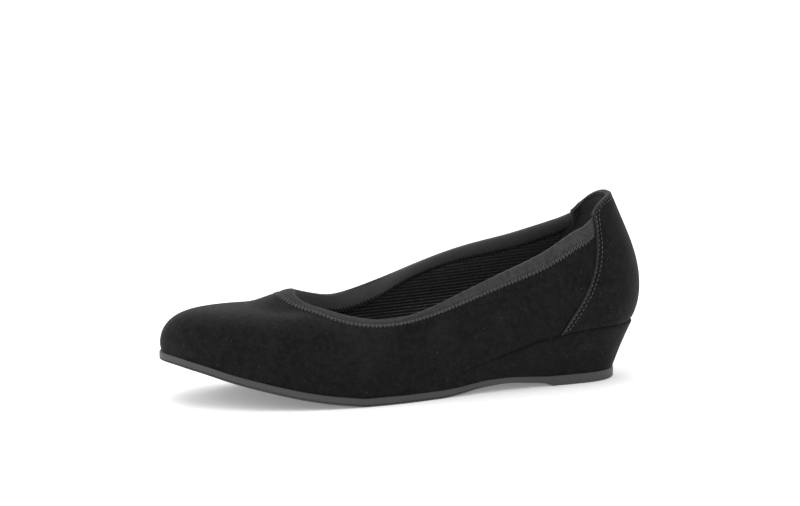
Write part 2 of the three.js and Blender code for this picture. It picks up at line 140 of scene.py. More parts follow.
# at, lift of the seat as a share of the heel seat's height over the heel sole
seat_profile = [
    (0.109, 1), (0.165, 0.965), (0.218, 0.866), (0.254, 0.777), (0.29, 0.643), (0.327, 0.513),
    (0.363, 0.412), (0.4, 0.34), (0.452, 0.252), (0.504, 0.139), (0.544, 0.046), (0.575, 0),
]


def value_at(rows, column, at):
    """Smooth curve through a table's rows, level at both ends and with no overshoot between rows."""
    xs = np.array([row[0] for row in rows], float)
    ys = np.array([row[column] for row in rows], float)
    secant = np.diff(ys) / np.diff(xs)
    slope = np.zeros(len(xs))
    product = secant[:-1] * secant[1:]
    total = secant[:-1] + secant[1:]
    rising = product > 0
    slope[1:-1][rising] = 2 * product[rising] / total[rising]
    at = np.clip(np.asarray(at, float), xs[0], xs[-1])
    i = np.clip(np.searchsorted(xs, at) - 1, 0, len(xs) - 2)
    span = xs[i + 1] - xs[i]
    t = (at - xs[i]) / span
    start = ys[i] * (1 + 2 * t) + slope[i] * span * t
    end = ys[i + 1] * (3 - 2 * t) - slope[i + 1] * span * (1 - t)
    return start * (1 - t) ** 2 + end * t ** 2


def loop_through(rows, knot):
    """Closed cubic spline round the shoe: heel, lateral rows, toe, and the medial rows back."""
    knots = [knot(row, True) for row in rows] + [knot(row, False) for row in rows[-2:0:-1]]
    knots = np.array(knots, float)
    controls = knots.copy()
    for _ in range(40):
        controls = (6 * knots - np.roll(controls, 1, 0) - np.roll(controls, -1, 0)) / 4
    size = len(knots)

    def point(u):
        i = math.floor(u)
        t = u - i
        weights = ((1 - t) ** 3, 3 * t ** 3 - 6 * t ** 2 + 4, 3 * (t + t ** 2 - t ** 3) + 1, t ** 3)
        return sum(w / 6 * controls[(i - 1 + j) % size] for j, w in enumerate(weights))

    return point


def plan_point(row, is_lateral):
    return (heel_x - shoe_length * row[0], half_ball * (-row[1] if is_lateral else row[2]))


foot_loop = loop_through(featherline, plan_point)
edge_loop = loop_through(featherline, lambda row, is_lateral: (row[3], row[4]))


def rib_number(u):
    return TOE - abs(TOE - u % (2 * TOE))


def plan_normal(u):
    along = foot_loop(u + 0.01) - foot_loop(u - 0.01)
    return np.array((-along[1], along[0])) / np.hypot(*along)


def foot_offset(u, distance):
    return foot_loop(u) + plan_normal(u) * distance


def share_of(x):
    return (heel_x - x) / shoe_length


def sole_bottom(x):
    return toe_spring * value_at(sole_profile, 1, share_of(x))


def sole_top(x):
    share = share_of(x)
    thickness = heel_sole + (fore_sole - heel_sole) * value_at(sole_profile, 2, share)
    return sole_bottom(x) + thickness + arch_rise * value_at(sole_profile, 3, share)


def seat(x):
    return sole_top(x) + (heel_height - heel_sole) * value_at(seat_profile, 1, share_of(x))


def sole_outset(u):
    """How far the sole's edge stands out from the featherline."""
    taper, ledge = edge_loop(u)
    return sole_ledge * ledge - heel_taper * taper


def woven(columns, uv=None):
    """A sheet of quads through columns of points, with its map at uv(column, row)."""
    bm = bmesh.new()
    across, down = len(columns) - 1, len(columns[0]) - 1
    bmesh.ops.create_grid(bm, x_segments=across, y_segments=down, size=0.5)
    cells = {vert: (round((vert.co.x + 0.5) * across), round((vert.co.y + 0.5) * down)) for vert in bm.verts}
    maps = bm.loops.layers.uv.new("UVMap")
    for face in bm.faces:
        for loop in face.loops:
            loop[maps].uv = uv(*cells[loop.vert]) if uv else (0, 0)
    for vert, (i, j) in cells.items():
        vert.co = Vector(columns[i][j])
    return bm


def closed_ring(side, other, across, crown=0.0):
    """A closed cross-section from its two edges, with points over it and back below."""
    shares = [(i + 1) / (across + 1) for i in range(across)]
    over = [side[-1] + (other[0] - side[-1]) * s + np.array((0, 0, crown * math.sin(math.pi * s)))
            for s in shares]
    under = [other[-1] + (side[0] - other[-1]) * s for s in shares]
    return side + over + other + under + side[:1]


def finish_piece(bm, name, material, crease=50, replaces=(), merge=2e-6):
    """Merges, shades and hands over a piece; edges sharper than crease degrees stay crisp."""
    bmesh.ops.remove_doubles(bm, verts=bm.verts, dist=merge)
    bmesh.ops.dissolve_degenerate(bm, edges=bm.edges, dist=1e-7)
    bmesh.ops.recalc_face_normals(bm, faces=bm.faces)
    for edge in bm.edges:
        edge.smooth = edge.calc_face_angle(0) < math.radians(crease)
    for face in bm.faces:
        face.smooth = True
    mesh = bpy.data.meshes.new(name)
    bm.to_mesh(mesh)
    bm.free()
    mesh.materials.append(material)
    piece = bpy.data.objects.new(name, mesh)
    bpy.context.scene.collection.objects.link(piece)
    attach(piece, "root")
    if replaces:
        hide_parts(*replaces)
    return piece


def new_group(name, inputs, outputs):
    """A node group with named sockets; inputs are (kind, name, default) and outputs are (kind, name)."""
    group = bpy.data.node_groups.new(name, "ShaderNodeTree")
    for kind, label, default in inputs:
        socket = group.interface.new_socket(label, in_out="INPUT", socket_type=f"NodeSocket{kind}")
        if default is not None:
            socket.default_value = default
    for kind, label in outputs:
        group.interface.new_socket(label, in_out="OUTPUT", socket_type=f"NodeSocket{kind}")
    return group, group.nodes.new("NodeGroupInput"), group.nodes.new("NodeGroupOutput")


def add_node(tree, kind, inputs=None, **settings):
    """A shader node with its settings, and its inputs given as values or as sockets to link."""
    node = tree.nodes.new(f"ShaderNode{kind}")
    for key, value in settings.items():
        setattr(node, key, value)
    for key, value in (inputs or {}).items():
        if isinstance(value, bpy.types.NodeSocket):
            tree.links.new(value, node.inputs[key])
        else:
            node.inputs[key].default_value = value
    return node


def new_material(name, **constants):
    """A material and its Principled node, with constant sockets set on the node itself."""
    material = bpy.data.materials.new(name)
    material.use_nodes = True
    tree = material.node_tree
    shader = tree.nodes["Principled BSDF"]
    for key, value in constants.items():
        shader.inputs[key.replace("_", " ")].default_value = value
    return material, tree, shader


def feed(tree, node, **sockets):
    """Links sockets into a node's inputs of those names."""
    for key, value in sockets.items():
        tree.links.new(value, node.inputs[key.replace("_", " ")])


def maths(tree, operation, *values):
    """The result of one step of arithmetic on sockets or numbers."""
    return add_node(tree, "Math", dict(enumerate(values)), operation=operation).outputs[0]


def remap(tree, value, low, high, to_low=0.0, to_high=1.0, **settings):
    """A value moved from one range into another and held at its ends."""
    ends = {"Value": value, 1: low, 2: high, 3: to_low, 4: to_high}
    return add_node(tree, "MapRange", ends, **settings).outputs["Result"]


def noise(tree, vector, scale, detail, **more):
    inputs = {"Vector": vector, "Scale": scale, "Detail": detail, **more}
    return add_node(tree, "TexNoise", inputs).outputs["Fac"]


def mix(tree, share, under, over):
    """One colour over another, where a plain number stands for a grey."""
    over = (over, over, over, 1) if isinstance(over, float) else over
    return add_node(tree, "MixRGB", {"Fac": share, "Color1": under, "Color2": over}).outputs["Color"]


def bump(tree, height, strength, distance):
    inputs = {"Height": height, "Strength": strength, "Distance": distance}
    return add_node(tree, "Bump", inputs).outputs["Normal"]


def grouped(tree, group, **inputs):
    """The outputs of a node group that is placed in a tree with its own values."""
    inputs = {key.replace("_", " "): value for key, value in inputs.items()}
    return add_node(tree, "Group", inputs, node_tree=group).outputs


def object_place(tree):
    return add_node(tree, "TexCoord").outputs["Object"]


def ramp(tree, share, *stops):
    """A colour ramp with (place, grey) stops."""
    node = add_node(tree, "ValToRGB", {"Fac": share})
    for element, (place, grey) in zip(node.color_ramp.elements, stops):
        element.position = place
        element.color = (grey, grey, grey, 1)
    return node.outputs["Color"]


def dust_group():
    """Faint dust and lint: soft pale clouds and rare specks of the size of a hair's end."""
    group, start, end = new_group(
        "dust",
        [("Vector", "Vector", None), ("Float", "Amount", 0.5), ("Float", "Speck Scale", 900.0)],
        [("Float", "Mask")],
    )
    vector = start.outputs["Vector"]
    haze = remap(group, noise(group, vector, 45.0, 4.0), 0.52, 0.72)
    cells = add_node(group, "TexVoronoi", {"Vector": vector, "Scale": start.outputs["Speck Scale"]})
    speck = remap(group, cells.outputs["Distance"], 0.14, 0.04)
    chance = add_node(group, "SeparateColor", {"Color": cells.outputs["Color"]}).outputs["Red"]
    lint = maths(group, "MULTIPLY", speck, maths(group, "GREATER_THAN", chance, 0.88))
    both = maths(group, "MAXIMUM", lint, maths(group, "MULTIPLY", haze, 0.03))
    feed(group, end, Mask=maths(group, "MULTIPLY", both, start.outputs["Amount"]))
    return group


dust = dust_group()


def rubber_material():
    material, tree, shader = new_material("sole_rubber", Specular_IOR_Level=0.4)
    place = object_place(tree)
    tone = noise(tree, place, 30.0, 3.0)
    base = ramp(tree, tone, (0.3, 0.037), (0.7, 0.046))
    scuff = grouped(tree, dust, Vector=place, Amount=0.35, Speck_Scale=700.0)["Mask"]
    feed(tree, shader, Base_Color=mix(tree, scuff, base, (0.25, 0.25, 0.24, 1)),
         Roughness=remap(tree, tone, 0.0, 1.0, 0.5, 0.62),
         Normal=bump(tree, noise(tree, place, 2200.0, 2.0), 0.12, 0.0002))
    return material


def sole_ring(k):
    """One cross-section of the sole: up the lateral side, over, down the medial side and back below."""
    lip = 0.35 * float(np.clip((k - 4.3) / 0.8, 0, 1))
    # way in from the edge, and height over the underside, or past 2.2 over a line 10 mm below the top
    profile = [
        (1.1, 0), (0.55, 0.08), (0.2, 0.3), (0.05, 0.5), (0.05, 0.75), (0.05 + lip, 0.85), (0.05 + lip, 1.1),
        (0, 1.25), (0, 1.9), (0, 8.9), (0.06, 9.4), (0.3, 9.8), (0.75, 9.98), (1.3, 10),
    ]

    def edge(u, inset, level):
        x, y = foot_offset(u, sole_outset(u) - inset * mm)
        low = sole_bottom(x) + arch_rise * value_at(arch_profile, 1, share_of(x))
        return np.array((x, y, low + level * mm if level < 2.2 else sole_top(x) - (10 - level) * mm))

    side = [edge(k, *row) for row in profile]
    other = [edge(2 * TOE - k, *row) for row in reversed(profile)]
    return closed_ring(side, other, 10)


def spread(first, last, count, *extra):
    """Stations evenly spread between two ribs, with the extra ones put in."""
    return sorted({*(round(first + (last - first) * i / (count - 1), 6) for i in range(count)), *extra})


sole_stations = spread(0, TOE, 150, 0.05, 0.1, 10.95, 10.98)
sole = woven([sole_ring(k) for k in sole_stations])
finish_piece(sole, "outsole_rubber", rubber_material(), crease=35, replaces=["outsole"])

# Wedge
# The real heel lift is a light core covered in the upper's suede, glued between the sole and the upper.
# It draws in towards the floor and thins out under the waist; its cover turns in along the top seam.
wedge_proud = 0.8 * mm
wedge_front = 6.3


def smooth_step(value, low, high):
    """From 0 at low to 1 at high, level at both ends."""
    share = np.clip((np.asarray(value, float) - low) / (high - low), 0, 1)
    return share ** 2 * (3 - 2 * share)


def seam_depth(u):
    """How open the seam over the wedge is: clear at the heel, and fading out under the waist."""
    return 1 - 0.88 * float(smooth_step(rib_number(u), 3.4, 5.2))


def suede_group():
    """Napped suede: brushed clouds of lighter and darker nap, short fibres and a fine rough surface."""
    group, start, end = new_group(
        "nap",
        [("Vector", "Vector", None), ("Color", "Dark", (0.012, 0.012, 0.012, 1)),
         ("Color", "Light", (0.03, 0.03, 0.03, 1)), ("Float", "Cloud Scale", 55.0),
         ("Float", "Depth", 0.0003)],
        [("Color", "Color"), ("Float", "Roughness"), ("Vector", "Normal")],
    )
    vector = start.outputs["Vector"]
    cloud = noise(group, vector, start.outputs["Cloud Scale"], 5.0, Roughness=0.55, Distortion=0.6)
    lean = add_node(group, "Mapping", {"Vector": vector, "Rotation": (0, 0.5, 0.2), "Scale": (1.0, 2.6, 2.6)})
    fibre = noise(group, lean.outputs["Vector"], 900.0, 4.0, Roughness=0.65)
    blotch = noise(group, vector, 380.0, 3.0, Roughness=0.6)
    share = maths(group, "MULTIPLY", remap(group, cloud, 0.36, 0.64), 0.14)
    share = maths(group, "MULTIPLY_ADD", remap(group, fibre, 0.3, 0.75), 0.42, share)
    share = maths(group, "MULTIPLY_ADD", remap(group, blotch, 0.35, 0.7), 0.34, share)
    relief = maths(group, "MULTIPLY_ADD", blotch, 0.6, fibre)
    feed(group, end, Color=mix(group, share, start.outputs["Dark"], start.outputs["Light"]),
         Roughness=remap(group, share, 0.0, 1.0, 0.98, 0.82),
         Normal=bump(group, relief, 0.45, start.outputs["Depth"]))
    return group


nap = suede_group()


def edge_highlight_and_wear_group():
    """A soft band at one distance on a piece's map, for painted highlight together with wear along an edge.
    """
    group, start, end = new_group(
        "edge_highlight_and_wear",
        [("Float", "Distance", 0.0), ("Float", "Place", 0.0006), ("Float", "Width", 0.0005),
         ("Float", "Amount", 0.5)],
        [("Float", "Mask")],
    )
    past = maths(group, "SUBTRACT", start.outputs["Distance"], start.outputs["Place"])
    share = maths(group, "DIVIDE", maths(group, "ABSOLUTE", past), start.outputs["Width"])
    band = remap(group, share, 0.0, 1.0, 1.0, 0.0, interpolation_type="SMOOTHSTEP")
    feed(group, end, Mask=maths(group, "MULTIPLY", band, start.outputs["Amount"]))
    return group


edge_highlight_and_wear = edge_highlight_and_wear_group()


def own_map(tree):
    return add_node(tree, "UVMap", uv_map="UVMap").outputs["UV"]


def parts_of(tree, vector):
    return add_node(tree, "SeparateXYZ", {"Vector": vector}).outputs


def suede_material(name, tips, folded=False):
    """Black suede with the tone of its nap's tips; a folded piece gets painted highlight with some wear along
    its folded edge and its rim, and is lighter inside.
    """
    material, tree, shader = new_material(
        name, Specular_IOR_Level=0.1, Sheen_Weight=0.17, Sheen_Roughness=0.35, Sheen_Tint=(0.5, 0.5, 0.51, 1))
    place = object_place(tree)
    pile = grouped(tree, nap, Vector=place, Dark=(0.002, 0.002, 0.0021, 1),
                   Light=(tips, tips, tips + 0.0001, 1), Depth=0.0003)
    lint = grouped(tree, dust, Vector=place, Amount=0.5, Speck_Scale=620.0)["Mask"]
    colour = mix(tree, lint, pile["Color"], 0.22)
    if folded:
        parts = parts_of(tree, own_map(tree))
        # Painted highlight with wear: a light band on the ridge of the folded front edge and another along
        # the top of the rim.
        for axis, line, width, amount in (("X", 0.0006, 0.0008, 0.75), ("Y", 0.0, 0.0016, 0.5)):
            highlight_and_wear = grouped(tree, edge_highlight_and_wear, Distance=parts[axis], Place=line, Width=width, Amount=amount)
            colour = mix(tree, highlight_and_wear["Mask"], colour, 0.04)
        colour = mix(tree, remap(tree, parts["Y"], -0.001, -0.004, 0.0, 0.6), colour, 0.05)
    feed(tree, shader, Base_Color=colour, Roughness=pile["Roughness"], Normal=pile["Normal"])
    return material


def wedge_ring(k):
    """One cross-section of the wedge: lateral side, seat, medial side and underside."""

    def edge(u):
        depth = seam_depth(u)
        low = foot_offset(u, sole_outset(u) - gap)
        high = foot_offset(u, wedge_proud * depth)
        bottom = sole_top(low[0]) + 0.05 * mm
        top = seat(high[0])
        thick = max(top - bottom, 0.1 * mm)
        round_up = min(1.1 * mm * depth, 0.45 * thick)
        hollow = 0.35 * mm * depth * min(thick / (20 * mm), 1)
        points = []
        for share in (0.0, 0.06, 0.2, 0.35, 0.5, 0.65, 0.8, 0.92, 1.0):
            x, y = low + (high - low) * share - plan_normal(u) * hollow * math.sin(math.pi * share)
            points.append(np.array((x, y, bottom + (thick - round_up) * share)))
        for turn in np.radians((25, 50, 75, 90)):
            x, y = foot_offset(u, wedge_proud * depth - round_up * (1 - math.cos(turn)))
            points.append(np.array((x, y, top - round_up * (1 - math.sin(turn)))))
        return points

    return closed_ring(edge(k), edge(2 * TOE - k)[::-1], 8)


wedge_stations = spread(0, wedge_front, 100, 0.03, 0.08)
wedge = woven([wedge_ring(k) for k in wedge_stations])
front = [e for e in wedge.edges if e.is_boundary and min(v.co.x for v in e.verts) < -0.005]
bmesh.ops.holes_fill(wedge, edges=front)
finish_piece(wedge, "wedge_cover", suede_material("wedge_suede", 0.0145), replaces=["wedge"])

# Lining
# The real lining is a black knitted fabric with raised ribs about 1.5 mm apart along the foot.
# It is the inner half of the upper's wall here, from the tape down to the insole.
back_height = 65 * mm
instep_height = 47 * mm
wall = 2.2 * mm
tape_width = 8 * mm
# rib, then how far the tape's edge lies under the topline on the lateral and on the medial side, in mm
tape_drops = [
    (3, 3.2, 1.9), (3.25, 3.0, 1.6), (3.6, 0.75, 0.5), (4, -0.25, -0.3), (4.6, -0.4, -0.5), (7, 0, -0.35),
    (8, 0, 0), (8.8, 1.7, 0), (9.4, 2.7, 0), (10, 3.2, 0), (10.5, 2.5, 0), (10.8, 0.9, 0), (11, 0, 0),
]
# way down from the topline, and how far the vamp stands up there before the throat, in mm
throat_lift = [(0, 1.0), (5, 1.6), (10, 1.75), (15, 1.2), (20, 0.35), (25, 0)]
corner_drop = 1.8 * mm  # of the counter's rounded front corner
lip_depth = 27.8 * mm  # of the counter's suede inside the heel
seam_rib = 3

# at, the medial edge's at, lateral and medial half widths, heights of the lateral and the medial edge
back_topline = [
    (0.065, 0.024, -0.024, 0.992, 0.992, 0.065), (0.071, 0.22, 0.183, 0.99, 0.972, 0.07),
    (0.093, 0.378, 0.341, 0.968, 0.91, 0.085), (0.129, 0.488, 0.43, 0.88, 0.822, 0.112),
    (0.218, 0.622, 0.549, 0.649, 0.665, 0.212), (0.331, 0.72, 0.61, 0.478, 0.562, 0.331),
    (0.444, 0.78, 0.659, 0.323, 0.428, 0.444),
]
throat_topline = [
    (0.536, 0.793, 0.72, 0.809, 0.928, 0.536), (0.613, 0.683, 0.671, 0.781, 0.84, 0.613),
    (0.669, 0.488, 0.537, 0.864, 0.885, 0.669), (0.71, 0.22, 0.341, 0.953, 0.96, 0.71),
    (0.726, -0.073, 0.073, 1.0, 1.0, 0.726),
]
# rib, then for the low, middle and high control point: share of the way in, bulge, share of the height
wall_bow = [
    (0, 0, 0.217, 0.21, 0.3, 0.185, 0.5, 0.7, 0.06, 0.77),
    (2, 0, 0.122, 0.22, 0.25, 0.122, 0.52, 0.6, 0.037, 0.8),
    (3, 0.22, 0.122, 0.2, 1.08, 0.293, 0.4, 1.08, 0.139, 0.72),
    (5, 0.2, 0.061, 0.25, 0.5, 0.073, 0.5, 0.75, 0.037, 0.76),
    (7, 0.05, 0.098, 0.3, 0.3, 0.11, 0.66, 0.65, 0.049, 0.92),
    (9, 0, 0.085, 0.38, 0.15, 0.049, 0.95, 0.58, 0, 0.82),
    (10, 0, 0.078, 0.42, 0.1, 0, 1.1, 0.58, 0, 0.6),
    (11, 0, 0.073, 0.42, 0.1, 0, 1.19, 0.6, 0, 0.44),
]


def top_point(row, is_lateral):
    at, height = (row[0], row[3]) if is_lateral else (row[5], row[4])
    base, scale = (heel_height, back_height) if row in back_topline else (fore_sole, instep_height)
    across = -row[1] if is_lateral else row[2]
    return (heel_x - shoe_length * at, half_ball * across, base + scale * height)


top_loop = loop_through(back_topline + throat_topline, top_point)


def run_along(points):
    """How far each point of a line lies from the line's start."""
    return np.concatenate([[0], np.cumsum(np.linalg.norm(np.diff(points, axis=0), axis=1))])


def rib_points(u, steps):
    """Points of the upper's outer face along one rib, from the topline down to the featherline."""
    foot = np.array((*foot_loop(u), 0.0))
    foot[2] = seat(foot[0]) + gap
    top = top_loop(u)
    outward = np.array((*plan_normal(u), 0.0))
    bow = [float(value_at(wall_bow, column, rib_number(u))) for column in range(1, 10)]
    controls = [foot]
    for way_in, bulge, up in (bow[0:3], bow[3:6], bow[6:9]):
        point = foot + (top - foot) * way_in + outward * half_ball * bulge
        point[2] = foot[2] + (top[2] - foot[2]) * up
        controls.append(point)
    controls.append(top)
    t = np.linspace(1, 0, steps + 1)[:, None]
    weights = (1, 4, 6, 4, 1)
    points = sum(w * t ** i * (1 - t) ** (4 - i) * controls[i] for i, w in enumerate(weights))
    raised = float(smooth_step(u, 9.7, 11) * (1 - smooth_step(u, 13.2, 14.5)))
    if raised > 0:
        points[:, 2] += value_at(throat_lift, 1, run_along(points) / mm) * mm * raised
    return points


# The outer face of the last, charted once on a fine net of ribs and levels
net_step, net_rows = 0.02, 160
net_ribs = round(2 * TOE / net_step)
net = np.array([rib_points(i * net_step, net_rows) for i in range(net_ribs)])
lengths = np.linalg.norm(np.diff(net, axis=1), axis=2)
net_down = np.concatenate([np.zeros((net_ribs, 1)), np.cumsum(lengths, axis=1)], axis=1)
net_height = net_down[:, -1]
across_net = np.roll(net, -1, 0) - np.roll(net, 1, 0)
net_normal = np.cross(np.gradient(net, axis=1), across_net) * -1
net_normal /= np.linalg.norm(net_normal, axis=2)[:, :, None]
flat_normal = np.array([(*plan_normal(i * net_step), 0.0) for i in range(net_ribs)])[:, None, :]
footing = 1 - smooth_step(net_height[:, None] - net_down, 0, 6 * mm)
net_normal += (flat_normal - net_normal) * footing[:, :, None]
net_normal /= np.linalg.norm(net_normal, axis=2)[:, :, None]


def height_at(u):
    """Length of a rib from the topline down to the featherline."""
    ribs = np.arange(net_ribs + 1) * net_step
    return np.interp(np.mod(u, 2 * TOE), ribs, np.append(net_height, net_height[0]))


def on_wall(u, down, inward=0.0):
    """Points and outward normals on the upper: down from the topline and inward from the outer face."""
    u, down, inward = np.broadcast_arrays(np.asarray(u, float), down, inward)
    column = np.mod(u, 2 * TOE) / net_step
    i = np.floor(column).astype(int) % net_ribs
    s = (column - np.floor(column))[..., None]
    points, normals = [], []
    for side in (i, (i + 1) % net_ribs):
        level = np.clip(down / height_at(u), 0, 1) * net_height[side]
        c = side.ravel()
        rows = np.arange(net_rows + 1)
        at = np.array([np.interp(v, net_down[rib], rows) for rib, v in zip(c, level.ravel())])
        j = np.minimum(at.astype(int), net_rows - 1)
        t = (at - j)[:, None]
        for chart, found in ((net, points), (net_normal, normals)):
            found.append((chart[c, j] * (1 - t) + chart[c, j + 1] * t).reshape(*side.shape, 3))
    point = points[0] * (1 - s) + points[1] * s
    normal = normals[0] * (1 - s) + normals[1] * s
    normal /= np.linalg.norm(normal, axis=-1)[..., None]
    return point - normal * inward[..., None], normal


def tape_top(u):
    """How far the tape's edge lies under the topline."""
    lateral, medial = (value_at(tape_drops, column, rib_number(u)) * mm for column in (1, 2))
    return np.where(np.mod(u, 2 * TOE) < TOE, lateral, medial)


def counter_top(u):
    """How far the counter's rounded front corner lies under the topline."""
    before = np.clip((seam_rib - rib_number(u)) / 0.4, 0, 1)
    crown = np.where(np.mod(u, 2 * TOE) < TOE, 0.3, 0.7) * mm * smooth_step(before, 0.3, 1.0)
    return corner_drop * (1 - np.sqrt(1 - (1 - before) ** 2)) - crown


def tape_depth(u):
    """The tape's depth: it is narrower where it passes under the counter and turns round the throat."""
    round_throat = smooth_step(rib_number(u), 7.6, 8.0) * tape_top(u)
    return tape_width + 0.8 * mm * smooth_step(rib_number(u), 3.1, 3.9) - round_throat


def thin_share(u):
    """How far the wall is thinned on its inner side: round the throat."""
    return float(smooth_step(rib_number(u), 7, 9))


lining_pitch = 1.55 * mm
lining_samples = 5
lining_high = 92 * mm
cord_height = 0.3 * mm
lining_rows = int((lining_high + 12 * mm) / lining_pitch * lining_samples)
lining_stations = spread(0, 2 * TOE, 221)


def lining_level(u, points, down):
    """The knitted ribs' own height: their lines rise gently to the heel, and turn round the throat."""
    x = points[:, 0]
    rise = 0.08 * x - 1.33 * np.minimum(x, 0) ** 2
    share = smooth_step(rib_number(u), 7.8, 10.2)
    return (points[:, 2] - rise) * (1 - share) + (50 * mm - down) * share


def lining_column(u):
    """Down the inside at one station, on levels that keep to the knitted ribs, and back behind them.

    The second list is each point's place on the map, counted in ribs."""
    height = float(height_at(u))
    if rib_number(u) > seam_rib:
        rim = float(tape_top(u) + tape_depth(u)) - 1.6 * mm
    else:
        rim = float(counter_top(u)) + lip_depth - 1.3 * mm
    down = np.linspace(rim, height, 240)
    face, _ = on_wall(u, down, wall)
    level = np.minimum.accumulate(lining_level(u, face, down)) - np.arange(len(down)) * 1e-9
    wanted = lining_high - np.arange(lining_rows) * lining_pitch / lining_samples
    wanted = np.clip(wanted, level[-1], level[0])
    place = np.interp(-wanted, -level, down)
    cord = cord_height * (0.5 + 0.5 * np.cos(wanted / lining_pitch * 2 * math.pi)) ** 1.5
    thinned = 0.8 * mm * thin_share(u) * (1 - smooth_step(place - rim, 0, 8 * mm))
    points, _ = on_wall(u, place, wall - cord_height + cord - thinned)
    behind, _ = on_wall(u, np.array((height, rim)), 1.7 * mm - thinned[[-1, 0]])
    levels = np.append(wanted, [wanted[-1], wanted[-1], wanted[0], wanted[0]]) / lining_pitch
    return [*points, behind[0], behind[0], behind[1], points[0]], levels


lining_columns = [lining_column(u) for u in lining_stations]
lining = woven([points for points, _ in lining_columns],
               lambda i, j: (lining_stations[i], float(lining_columns[i][1][j])))


def lining_material():
    material, tree, shader = new_material(
        "ribbed_lining", Specular_IOR_Level=0.2, Sheen_Weight=0.2, Sheen_Roughness=0.5, Roughness=0.9)
    place = object_place(tree)
    rows = parts_of(tree, own_map(tree))["Y"]
    # Painted highlight on the knitted ribs' crests and painted shade in the grooves between them.
    crest_light = remap(tree, maths(tree, "COSINE", maths(tree, "MULTIPLY", rows, 2 * math.pi)), 0.1, 1.0)
    tone = maths(tree, "MULTIPLY", crest_light, noise(tree, place, 1100.0, 3.0))
    base = ramp(tree, tone, (0.05, 0.004), (0.55, 0.08))
    # Small flecks of painted highlight, stretched along the ribs, on the crests only.
    stretch = add_node(tree, "Mapping", {"Vector": place, "Scale": (1.0, 1.0, 3.0)}).outputs["Vector"]
    highlight_flecks = remap(tree, noise(tree, stretch, 330.0, 4.0), 0.56, 0.7, 0.0, 0.6)
    loops = add_node(tree, "TexVoronoi", {"Vector": place, "Scale": 1300.0}).outputs["Distance"]
    feed(tree, shader, Base_Color=mix(tree, maths(tree, "MULTIPLY", highlight_flecks, crest_light), base, 0.15),
         Normal=bump(tree, loops, 0.5, 0.0003))
    return material


finish_piece(lining, "ribbed_lining", lining_material(), crease=180, merge=1e-6)

# Upper
# The real vamp and quarters are cut from black suede, lasted over the foot's form and turned in under
# the sole. The suede is the outer half of the wall, with its soft hollows and its lasted lower edge.
# rib, way down from the topline, length along the shoe, width, lean, and depth of each soft trough in mm
hollows = [
    (9.6, 14, 30, 9, 0.3, -0.35), (8.3, 20, 26, 8, -0.25, 0.25), (7.2, 26, 34, 9, 0.2, -0.3),
    (5.6, 22, 30, 8, 0.15, -0.25), (4.6, 32, 26, 9, -0.1, 0.2), (4.1, 14, 20, 6, 0.3, -0.2),
    (12.6, 16, 30, 9, -0.3, -0.35), (14.4, 24, 30, 9, 0.2, 0.25), (16.6, 24, 34, 9, 0.2, -0.25),
]


def softness(u, down):
    """Soft troughs and ridges of the lasted suede."""
    total = np.zeros(np.broadcast(u, down).shape)
    for rib, level, length, width, lean, depth in hollows:
        along = (u - rib) * 26
        away = down / mm - level - lean * along
        total += depth * np.exp(-((along / length) ** 2) * 2 - (away / width) ** 2 * 2)
    return total * mm


upper_front = 0.25
seam_run = 18.0 * mm  # length along the shoe for one rib at the seam
tape_lap, counter_lap = 1.2 * mm, 9 * mm  # how far the suede runs in under the tape and the counter
upper_stations = spread(seam_rib - upper_front, 2 * TOE - seam_rib + upper_front, 420, *(
    end + side * step for end, side in ((seam_rib, 1), (2 * TOE - seam_rib, -1))
    for step in (-0.02, -0.01, 0, 0.01, 0.02, 0.03, 0.04, 0.05, 0.07)))
upper_rows = 66


def upper_column(u):
    """Up the outside from under the lower edge, over the hidden rim and down behind."""
    past_seam = rib_number(u) - seam_rib
    height = float(height_at(u))
    front = smooth_step(past_seam, -0.002, 0.8 * mm / seam_run)
    under_tape_rim, under_counter_rim = tape_top(u) + tape_depth(u) - tape_lap, counter_top(u) + counter_lap
    rim = float(under_tape_rim if past_seam > 0 else under_counter_rim)
    share = np.linspace(0, 1, upper_rows)
    down = height - (height - rim) * (share * 0.75 + 0.25 * share ** 0.6)
    tuck = 0.55 * mm * seam_depth(u) * (1 - smooth_step(height - down, 0, 1.4 * mm)) ** 2
    under_tape = 0.75 * mm * smooth_step(-down, -rim - 2.2 * mm, -rim - 0.6 * mm)
    under_counter = 0.95 * mm * (1 - front)
    inward = np.maximum(tuck + under_tape, under_counter) - softness(u, down)
    outer, _ = on_wall(u, down, inward)
    hidden, _ = on_wall(u, np.array((rim, height)), 1.5 * mm)
    below = outer[0] - np.array((0, 0, 0.45 * mm))
    return [hidden[1], below, *outer, hidden[0], hidden[1]]


def cap_ends(bm):
    """Closes the open ends of a sweep."""
    bmesh.ops.remove_doubles(bm, verts=bm.verts, dist=1e-6)
    bmesh.ops.holes_fill(bm, edges=[edge for edge in bm.edges if edge.is_boundary])


upper = woven([upper_column(u) for u in upper_stations])
cap_ends(upper)
upper_suede = suede_material("upper_suede", 0.0155)
finish_piece(upper, "suede_upper", upper_suede, crease=60, replaces=["upper"])

# Counter
# The real counter is a suede piece that wraps the heel and stands up as a tab at the back. Its front
# edges are folded under and held by two rows of stitches, and its top turns over to the inside.
counter_proud = 0.5 * mm
stitch_rows = (1.45, 2.95)  # mm from the folded edge
seam_lines = {side: on_wall(side * seam_rib, np.linspace(0, float(height_at(side * seam_rib)), 400))[0]
              for side in (1, -1)}


def from_seam(u, down):
    """Distance in mm on the wall from the seam, for places behind it."""
    points = on_wall(u, down)[0]
    seam = seam_lines[1 if np.ravel(u)[0] >= 0 else -1]
    return np.min(np.linalg.norm(points[:, None] - seam[None], axis=2), axis=1) / mm


def hump(distance, middle, width):
    """A rounded rise of height 1 at one distance."""
    return np.exp(-(((distance - middle) / width) ** 2))


def sewn_down(distance):
    return sum(-0.18 * hump(distance, row, 0.4) for row in stitch_rows)


